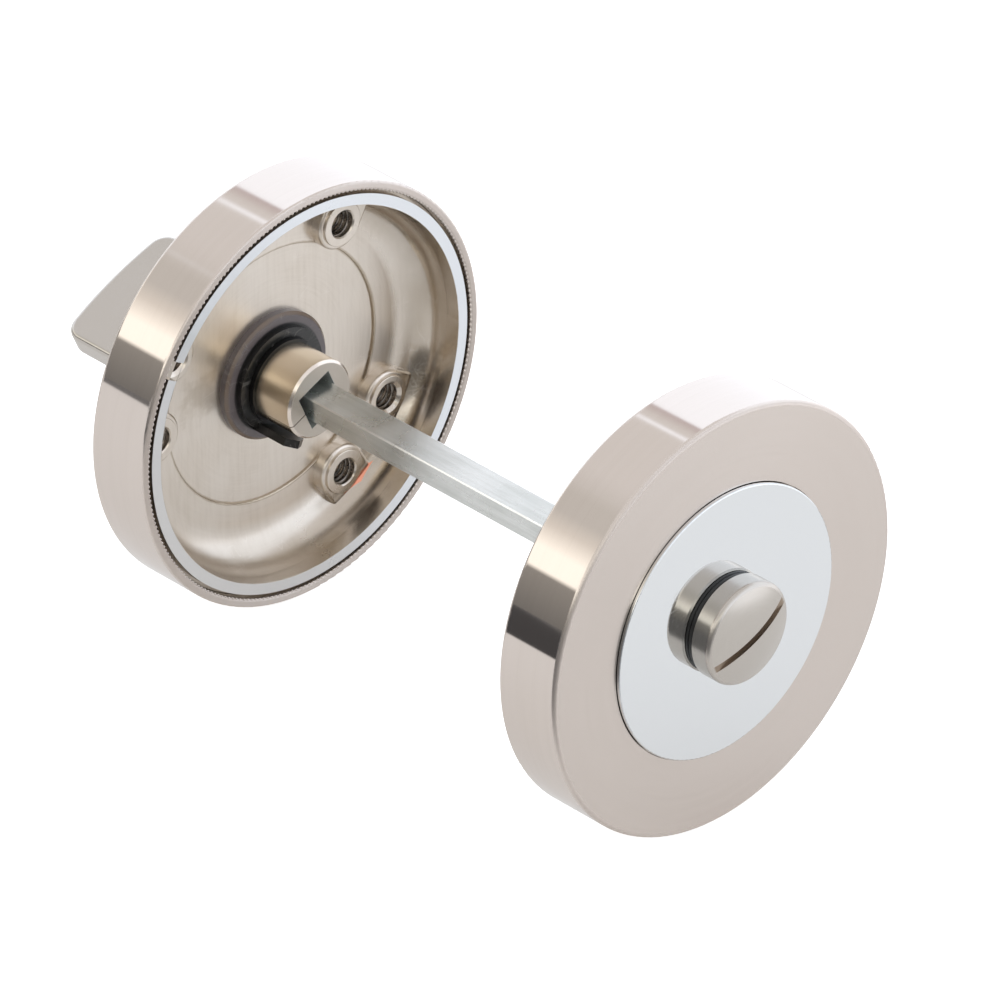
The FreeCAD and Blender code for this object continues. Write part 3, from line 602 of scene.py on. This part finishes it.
BLUED, BLUED_PALE = colour(0.03, 0.03, 0.03), colour(0.07, 0.07, 0.07)
BLUED_ROUGHNESS = 0.25

spring_steel, tree, surface, vector = start_finish("spring_steel", Metallic=1.0)
fine = use_group(tree, turned_lines, Vector=vector, Lines_per_mm=14.0, Breaks=5.0)["Line"]
feed(tree, surface.inputs["Base Color"], mix(tree, fine, BLUED, BLUED_PALE))
feed(tree, surface.inputs["Roughness"], raised(tree, BLUED_ROUGHNESS, fine, 0.2))
relief(tree, surface, fine, 0.003)
dress(spring_steel, "turn_snap_ring", "release_snap_ring")

# %% [markdown]
# The thumb turn and the button are nickel plated brass, a shade darker than the covers. Their shaft, its
# end, the square sockets and the button's coin slot each have a look of their own. So these places are
# found first, by depth and radius, or by the distance from the axis across and along the slot.

# %% Places on the shafts and heads
SHAFT_RADIUS = 4.8
HEAD_RADIUS, SHOULDER_DEPTH = 6.2, 12.25
SHAFT_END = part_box("thumb_turn")[1].x / MM
BUTTON_HEIGHT = (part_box("release_button")[1].x - release_door_face) / MM
TURN_ANGLE = math.radians(23.5)
SLOT_ACROSS = (0, -math.sin(TURN_ANGLE), math.cos(TURN_ANGLE))
SLOT_ALONG = (0, math.cos(TURN_ANGLE), math.sin(TURN_ANGLE))
SLOT_HALF, SLOT_DEPTH, SLOT_GRIMY = 0.45, 0.9, 0.5
SOCKET_HALF = 2.5

turned_nickel, tree, surface, vector = start_finish("turned_nickel")
brushed_round(tree, surface, 0.4)
where = use_group(tree, lathe, Vector=vector)
thin = fall(tree, where["Radius"], SHAFT_RADIUS + 0.1, SHAFT_RADIUS + 0.3)
in_rose = fall(tree, where["Depth"], COVER_DEPTH - 0.2, COVER_DEPTH + 0.4)
on_shaft = times(tree, thin, in_rose)
on_end = fall(tree, where["Depth"], 0.01 - SHAFT_END, 0.03 - SHAFT_END)
end_chamfer_highlight = use_group(tree, edge_ring, Vector=vector, Depth=0.15 - SHAFT_END, Radius=SHAFT_RADIUS - 0.15,
                     Width=0.3)["Mask"]
shoulder = use_group(tree, edge_ring, Vector=vector, Depth=SHOULDER_DEPTH, Radius=HEAD_RADIUS - 0.2,
                     Width=0.45)["Mask"]
off_across = off_place(tree, vector, SLOT_ACROSS)
off_square = maths(tree, "MAXIMUM", off_across, off_place(tree, vector, SLOT_ALONG))
in_socket = times(tree, fall(tree, off_square, SOCKET_HALF + 0.01, SOCKET_HALF + 0.03), in_rose)
from_top = maths(tree, "SUBTRACT", BUTTON_HEIGHT, where["Depth"])
deep = ramp(tree, from_top, 0.15, SLOT_GRIMY)
not_past = fall(tree, from_top, SLOT_DEPTH + 0.05, SLOT_DEPTH + 0.15)
in_slot = times(tree, fall(tree, off_across, SLOT_HALF - 0.01, SLOT_HALF + 0.03), deep, not_past)
print("places on the shafts and heads ready")

# %% [markdown]
# Where the shaft runs in its bush the plate is glossy and yellowish. The shaft's end was faced on the lathe
# and is pale and matt, with a painted highlight on its chamfer. The sockets are dusty inside, and because
# dust is no metal, it takes the surface's metallic share down. The coin slot is browner and darker towards
# its floor.

# %% Finish: turned nickel
BRASSY = colour(0.530, 0.495, 0.452)
BRASSY_DULL = colour(0.505, 0.468, 0.424)
GOLDEN = colour(0.745, 0.640, 0.500)
FACED = colour(0.465, 0.418, 0.360)
SLOT_BROWN = colour(0.240, 0.160, 0.095)
DUSTY = colour(0.430, 0.450, 0.430)
TURNED_ROUGHNESS = 0.17

fine = use_group(tree, turned_lines, Vector=vector, Lines_per_mm=8.0, Breaks=2.0)["Line"]
cloud = use_group(tree, smudges, Vector=vector, Scale=240.0, From=0.45, To=0.75)["Mask"]
tone = mix(tree, ramp(tree, fine, 0.2, 0.8), BRASSY_DULL, BRASSY)
tone = mix(tree, on_shaft, tone, GOLDEN)
tone = mix(tree, on_end, tone, FACED)
# Painted highlight: the chamfer round the shaft's end is tinted pale.
tone = tint(tree, tone, end_chamfer_highlight, NICKEL_HIGHLIGHT, 0.7)
tone = mix(tree, in_socket, tone, DUSTY)
# The coin slot is tinted browner and darker towards its floor.
tone = tint(tree, tone, in_slot, SLOT_BROWN, 0.7)
feed(tree, surface.inputs["Base Color"], tone)
feed(tree, surface.inputs["Metallic"], raised(tree, 1.0, in_socket, -0.8))
rough = raised(tree, TURNED_ROUGHNESS, fine, 0.05)
rough = raised(tree, rough, cloud, 0.04)
rough = raised(tree, rough, on_end, 0.20)
rough = raised(tree, rough, shoulder, 0.12)
rough = raised(tree, rough, in_slot, 0.3)
feed(tree, surface.inputs["Roughness"], rough)
relief(tree, surface, fine, 0.0005)
dress(turned_nickel, "thumb_turn", "release_button")

# %% [markdown]
# The spindle is cold drawn square bar with a zinc plate: a smooth grey with a green tinge and soft paler
# patches, faint lines along its length from the drawing die, and arrises that are rubbed bright and carry a
# painted highlight. A point is on an arris where it is far from the bar's middle both ways across.

# %% Finish: zinc plated steel
ZINC = colour(0.755, 0.775, 0.760)
ZINC_DARK = colour(0.655, 0.675, 0.655)
ZINC_PALE = colour(0.880, 0.893, 0.885)
ZINC_RUBBED_AND_HIGHLIGHT = colour(0.960, 0.965, 0.960)
ZINC_ROUGHNESS = 0.27
BAR_ANGLE = math.radians(12)
BAR_WAYS = (Vector((0, math.cos(BAR_ANGLE), math.sin(BAR_ANGLE))),
            Vector((0, -math.sin(BAR_ANGLE), math.cos(BAR_ANGLE))))
bar_low, bar_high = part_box("spindle")
BAR_CENTRE = (bar_low + bar_high) / 2 / MM
ARRIS_FROM, ARRIS_TO = 1.60, 1.68
DRAWN_LONG, PATCHES_LONG = (0.03, 1, 1), (0.4, 1, 1)
DIE_SCALE = 2600.0

zinc_steel, tree, surface, vector = start_finish("zinc_steel", Metallic=1.0)
drawn_line = noise(tree, stretched(tree, vector, DRAWN_LONG), DIE_SCALE, 3.0)
patches = stretched(tree, vector, PATCHES_LONG)
cloud = use_group(tree, smudges, Vector=patches, Scale=300.0, From=0.4, To=0.7)["Mask"]
dull = use_group(tree, smudges, Vector=vector, Scale=240.0, From=0.5, To=0.75)["Mask"]
scratch = use_group(tree, hairlines, Vector=vector, Scale=110.0, Thickness=0.008, Cover=0.42)["Mask"]
off_both = maths(tree, "MINIMUM", *(off_place(tree, vector, way, BAR_CENTRE.dot(way)) for way in BAR_WAYS))
arris = ramp(tree, off_both, ARRIS_FROM, ARRIS_TO)
tone = mix(tree, ramp(tree, drawn_line, 0.25, 0.75), ZINC_DARK, ZINC)
tone = tint(tree, tone, cloud, ZINC_PALE, 0.5)
tone = tint(tree, tone, dull, ZINC_DARK, 0.3)
# Arrises rubbed bright, partly a painted highlight; scratches take the same tone.
tone = mix(tree, maths(tree, "MAXIMUM", times(tree, scratch, 0.3), arris), tone, ZINC_RUBBED_AND_HIGHLIGHT)
feed(tree, surface.inputs["Base Color"], tone)
feed(tree, surface.inputs["Roughness"], raised(tree, ZINC_ROUGHNESS, dull, 0.08))
relief(tree, surface, maths(tree, "SUBTRACT", maths(tree, "ADD", drawn_line, cloud), scratch), 0.001)
dress(zinc_steel, "spindle")

# %% [markdown]
# New pieces are surfaces worked out with numpy. A grid of points in two directions, of which either may
# close on itself, becomes a mesh by index arithmetic alone, so no loop ever walks over the vertices.

# %% Helper: a surface from a grid of points
MERGE_DISTANCE = 1e-7


def grid_piece(name, points, body, material, close_rows=False):
    """A mesh from points[row, column], closed along its columns, and along its rows if asked.

    Corner (i, j) of a face is joined to (i+1, j), (i+1, j+1) and (i, j+1), counted round where the
    grid closes. Rows that shrink to a point at the ends are merged there, and faces point outwards.
    """
    rows, columns = points.shape[:2]
    first = np.arange(rows if close_rows else rows - 1)
    row, column = np.meshgrid(first, np.arange(columns), indexing="ij")
    next_row, next_column = (row + 1) % rows, (column + 1) % columns
    corners = [row * columns + column, next_row * columns + column,
               next_row * columns + next_column, row * columns + next_column]
    mesh = bpy.data.meshes.new(name)
    mesh.from_pydata(points.reshape(-1, 3), [], np.stack(corners, axis=-1).reshape(-1, 4))
    solid = bmesh.new()
    solid.from_mesh(mesh)
    bmesh.ops.remove_doubles(solid, verts=solid.verts, dist=MERGE_DISTANCE)
    bmesh.ops.recalc_face_normals(solid, faces=solid.faces)
    solid.to_mesh(mesh)
    solid.free()
    mesh.polygons.foreach_set("use_smooth", np.ones(len(mesh.polygons), bool))
    mesh.materials.append(material)
    piece = bpy.data.objects.new(name, mesh)
    bpy.context.scene.collection.objects.link(piece)
    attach(piece, body)
    print(f"{name}: {len(mesh.vertices)} points, {len(mesh.polygons)} faces")


print("grid helper ready")

# %% [markdown]
# The release rose is the turn's rose turned over about the line of its two bolts, so each fine piece is
# worked out once, for the turn's rose, and carried over by the same half turn.

# %% Helpers: a ring, and the same piece on both roses
TURN_OVER_ANGLE = math.radians(150)


def round_the_axis(depth, radius, around):
    """Points of the turn's rose in metres: radius x cosine and sine of the angle, behind the door face."""
    return np.stack([-depth, radius * np.cos(around), radius * np.sin(around)], axis=-1) * MM


def ring_angles(steps, section_steps):
    """Angles round the axis as rows, and angles round a small round section as columns."""
    around = np.linspace(0, 2 * np.pi, steps, endpoint=False)[:, None]
    section = np.linspace(0, 2 * np.pi, section_steps, endpoint=False)[None, :]
    return around, section


def turned_over(points):
    """Points of the turn's rose carried to the release rose, by half a turn about a line.

    The line lies across the axis, halfway between the door faces, in the direction of the bolts. The
    part of a point's offset along the line stays and the rest changes sign, so the new offset is
    2 x (offset . line) x line - offset.
    """
    line = np.array([0, math.cos(TURN_OVER_ANGLE), math.sin(TURN_OVER_ANGLE)])
    centre = np.array([middle, 0, 0])
    offset = points - centre
    return centre + 2 * (offset @ line)[..., None] * line - offset


def on_both_roses(name, points, material, close_rows=False):
    """The same piece in the turn's rose and in the release rose."""
    grid_piece("turn_" + name, points, "turn_rose", material, close_rows)
    grid_piece("release_" + name, turned_over(points), "release_rose", material, close_rows)


print("rose helpers ready")

# %% [markdown]
# The cover's lip was knurled before the casting was pressed in, and a row of tiny beads is left along its
# inner corner. It is one closed ring: a small round section carried round the axis, which swells and
# shrinks as many times as there are beads.

# %% Bead rings
BEADS = 240
STEPS_PER_BEAD, BEAD_SECTION_STEPS = 6, 8
BEAD_CIRCLE, BEAD_DEPTH = 25.04, 0.21
BEAD_THIN, BEAD_THICK = 0.04, 0.20


def beads():
    """Section radius = thin + (thick - thin) x wave, where the wave is a raised cosine of beads x angle."""
    around, section = ring_angles(BEADS * STEPS_PER_BEAD, BEAD_SECTION_STEPS)
    size = BEAD_THIN + (BEAD_THICK - BEAD_THIN) * (0.5 + 0.5 * np.cos(BEADS * around))
    return round_the_axis(BEAD_DEPTH + size * np.sin(section), BEAD_CIRCLE + size * np.cos(section), around)


on_both_roses("beads", beads(), satin_nickel, close_rows=True)

# %% [markdown]
# The ten bosses are tapped M4. The solids hold the plain core bore, and the thread is one triangular
# ridge wound up each bore as a helix, which fades out at both ends so that the surface closes. The plate
# hardly reaches into so narrow a hole, so the thread is dark and a little oily.

# %% Threads
PITCH = 0.7
CORE_RADIUS = 1.65
BOSS_CIRCLE = 19.0
BOLT_START, SCREW_START, THREAD_END = 5.3, 5.05, 7.6
BOSSES = ((60, SCREW_START), (150, BOLT_START), (180, SCREW_START), (300, SCREW_START), (330, BOLT_START))
THREAD_HEIGHT, THREAD_ROOTED = 0.24, 0.02
THREAD_HALF_FOOT = 0.36
THREAD_FADE = 0.06
STEPS_PER_TURN = 36
TAPPED, TAPPED_OILY = colour(0.36, 0.33, 0.30), colour(0.12, 0.11, 0.10)
TAPPED_ROUGHNESS = 0.30

tapped_zinc, tree, surface, vector = start_finish("tapped_zinc", Metallic=1.0)
oily = use_group(tree, smudges, Vector=vector, Scale=600.0, From=0.4, To=0.7)["Mask"]
feed(tree, surface.inputs["Base Color"], mix(tree, oily, TAPPED, TAPPED_OILY))
feed(tree, surface.inputs["Roughness"], raised(tree, TAPPED_ROUGHNESS, oily, -0.12))


def thread(boss_degrees, start):
    """A helix whose section is a triangle: two corners at the bore's wall, one in by the height.

    The wall corners are rooted a share of the height outside the bore, and lie a share of the pitch to
    either side of the crest. Near its ends the whole section shrinks to a point of the bore's wall.
    """
    turns = (THREAD_END - start) / PITCH
    share = np.linspace(0, 1, int(turns * STEPS_PER_TURN))[:, None]
    fade = np.clip(np.minimum(share, 1 - share) / THREAD_FADE, 0, 1)
    corner_outward = THREAD_HEIGHT * np.array([THREAD_ROOTED, THREAD_ROOTED, -1.0])
    corner_along = PITCH * np.array([-THREAD_HALF_FOOT, THREAD_HALF_FOOT, 0.0])
    radius = CORE_RADIUS + corner_outward * fade
    depth = start + (THREAD_END - start) * share + corner_along * fade
    angle = 2 * np.pi * turns * share
    boss = math.radians(boss_degrees)
    sideways = BOSS_CIRCLE * math.cos(boss) + radius * np.cos(angle)
    upward = BOSS_CIRCLE * math.sin(boss) + radius * np.sin(angle)
    return np.stack([-depth, sideways, upward], axis=-1) * MM


for number, (degrees, mouth) in enumerate(BOSSES, start=1):
    on_both_roses(f"thread_{number}", thread(degrees, mouth), tapped_zinc)

# %% [markdown]
# Grinding the rim has left a hair of burr along its inner edge. It is a thin ring whose thickness and
# place wander with a few sine waves of different lengths, so that it breaks up like the real one.

# %% Burrs on the rim
BURR_THICK, BURR_LEAST = 0.05, 0.15
BURR_STEPS, BURR_SECTION_STEPS = 1440, 6
BURR_SUNK, BURR_WANDER = 0.02, 0.03


def burr():
    """Section radius = thick x waves, which are one slow sine and a product of two fast ones.

    The waves never fall under the least share. The section's place wanders in and out from the rim's
    inner edge by the product of two more sines.
    """
    around, section = ring_angles(BURR_STEPS, BURR_SECTION_STEPS)
    waves = 0.55 + 0.25 * np.sin(7 * around + 1) + 0.2 * np.sin(31 * around) * np.sin(97 * around + 2)
    size = BURR_THICK * np.clip(waves, BURR_LEAST, 1)
    wander = BURR_WANDER * np.sin(53 * around) * np.sin(11 * around)
    radius = RIM_INSIDE - BURR_SUNK + size * np.cos(section) + wander
    return round_the_axis(RIM_DEPTH + BURR_SUNK + size * np.sin(section), radius, around)


on_both_roses("rim_burr", burr(), cast_nickel, close_rows=True)

# %% [markdown]
# The set stands on a white sweep, a large plain disc of paper at the height of the roses' lowest point.

# %% Floor
FLOOR_RADIUS = 6.0
FLOOR_CORNERS = 64

around = np.linspace(0, 2 * np.pi, FLOOR_CORNERS, endpoint=False)
floor_edge = np.stack([FLOOR_RADIUS * np.cos(around), FLOOR_RADIUS * np.sin(around),
                       np.full(FLOOR_CORNERS, floor_height)], axis=-1)
floor_mesh = bpy.data.meshes.new("floor")
floor_mesh.from_pydata(floor_edge, [], [list(range(FLOOR_CORNERS))])
floor = bpy.data.objects.new("floor", floor_mesh)
bpy.context.scene.collection.objects.link(floor)
print("floor of", FLOOR_RADIUS, "m radius")

# %% [markdown]
# The paper glows a little, as it does under studio light, and the sweep behind is lit brighter. To the
# camera it is white all over. A strip of black card lies flat on it to the side, and the table ends in the
# dark below the lens. Both lie out of the picture, and only mirrors show them: they are drawn in the
# paper's own shader, for every ray but the camera's. Places on the floor are in millimetres.

# %% Finish: floor paper
CARD_NEAR, CARD_SOFT = -140.0, 5.0
CARD_SLANT, CARD_MIDDLE, CARD_HALF = 0.7635, 78.0, 28.0
TABLE_END, TABLE_SIDE, TABLE_SOFT = 88.0, -35.0, 10.0
TABLE_DARKNESS = 0.85
BEHIND_FROM, BEHIND_TO = 70.0, 180.0
PAPER, PAPER_GLOW = colour(0.65, 0.65, 0.65), colour(0.26, 0.26, 0.26)
PAPER_BEHIND, PAPER_SEEN = colour(0.95, 0.98, 1.05), colour(0.80, 0.80, 0.80)
DARK = colour(0.04, 0.04, 0.042)

floor_paper, tree, surface, vector = start_finish(
    "floor_paper", Roughness=0.9, Specular_IOR_Level=0.0, Emission_Strength=1.0)
parts = place(tree, "ShaderNodeSeparateXYZ", {"Vector": vector}).outputs
floor_x = maths(tree, "DIVIDE", parts["X"], MM)
floor_y = maths(tree, "DIVIDE", parts["Y"], MM)
near_end = fall(tree, floor_y, CARD_NEAR - CARD_SOFT, CARD_NEAR + CARD_SOFT)
off_card = maths(tree, "SUBTRACT", floor_x, times(tree, floor_y, CARD_SLANT))
off_card = maths(tree, "ABSOLUTE", maths(tree, "SUBTRACT", off_card, CARD_MIDDLE))
card = times(tree, near_end, fall(tree, off_card, CARD_HALF - CARD_SOFT, CARD_HALF + CARD_SOFT))
to_lens = maths(tree, "SUBTRACT", times(tree, floor_x, azimuth_sine), times(tree, floor_y, azimuth_cosine))
past_table = ramp(tree, to_lens, TABLE_END - TABLE_SOFT, TABLE_END + TABLE_SOFT)
past_table = times(tree, past_table, fall(tree, floor_y, TABLE_SIDE - TABLE_SOFT, TABLE_SIDE + TABLE_SOFT))
by_camera = place(tree, "ShaderNodeLightPath").outputs["Is Camera Ray"]
dark = maths(tree, "MAXIMUM", card, times(tree, past_table, TABLE_DARKNESS))
dark = times(tree, dark, maths(tree, "SUBTRACT", 1.0, by_camera))
feed(tree, surface.inputs["Base Color"], mix(tree, dark, PAPER, DARK))
glowing = mix(tree, ramp(tree, floor_y, BEHIND_FROM, BEHIND_TO), PAPER_GLOW, PAPER_BEHIND)
glowing = mix(tree, by_camera, glowing, PAPER_SEEN)
feed(tree, surface.inputs["Emission Color"], mix(tree, dark, glowing, DARK))
floor_mesh.materials.append(floor_paper)
print("floor paper ready")

# %% [markdown]
# The light is a white tent, drawn straight into the world by direction. Overhead hangs a dimmer ceiling
# with a dark seam at its edge and a thin bright one above it. On the side of -Y a creamy soft box hangs
# above a grey gap near the ground, so metal that faces it shows cream, then grey, then the black card and
# the bright floor, one after another. Heights are sines of the angle above the horizon.

# %% Light
SKY_STRENGTH = 1.7
TENT, CEILING, SEAM = (0.855, 0.91, 1.0), (0.56, 0.555, 0.56), (0.42, 0.37, 0.38)
CREAM, SOFT_END, LOW_CEILING = (1.0, 0.99, 0.94), (0.62, 0.60, 0.57), (0.47, 0.465, 0.455)
GAP_LOW, GAP_HIGH = (0.15, 0.148, 0.145), (0.235, 0.23, 0.22)
OPEN_SIDE = ((0.0, GAP_LOW), (0.27, GAP_HIGH), (0.295, CREAM), (0.42, CREAM),
             (0.54, SOFT_END), (0.62, LOW_CEILING), (0.70, LOW_CEILING), (0.78, CEILING))
CLOSED_SIDE = ((0.0, TENT), (0.655, TENT), (0.662, SEAM), (0.705, CEILING),
               (0.722, CEILING), (0.726, TENT), (0.734, TENT), (0.738, CEILING))
OPEN_ENDS, CLOSED_STARTS = -0.35, 0.05
SKY_SEEN = colour(0.85, 0.85, 0.85)


def bands(tree, height, stops):
    """A colour ramp from pairs of a height and a brightness colour."""
    node = place(tree, "ShaderNodeValToRGB", {"Fac": height})
    elements = node.color_ramp.elements
    for index, (position, brightness) in enumerate(stops):
        element = elements[index] if index < 2 else elements.new(position)
        element.position = position
        element.color = colour(*brightness)
    return node.outputs[0]


world = bpy.data.worlds.new("studio")
bpy.context.scene.world = world
world.use_nodes = True
sky = world.node_tree
sky.nodes.clear()
toward = place(sky, "ShaderNodeTexCoord").outputs["Generated"]
direction = place(sky, "ShaderNodeSeparateXYZ", {"Vector": toward}).outputs
side = ramp(sky, direction["Y"], OPEN_ENDS, CLOSED_STARTS)
light = mix(sky, side, bands(sky, direction["Z"], OPEN_SIDE), bands(sky, direction["Z"], CLOSED_SIDE))
by_camera = place(sky, "ShaderNodeLightPath").outputs["Is Camera Ray"]
light = mix(sky, by_camera, light, SKY_SEEN)
glow = place(sky, "ShaderNodeBackground", {"Color": light, "Strength": SKY_STRENGTH})
place(sky, "ShaderNodeOutputWorld", {"Surface": glow.outputs[0]})
print("studio light set")
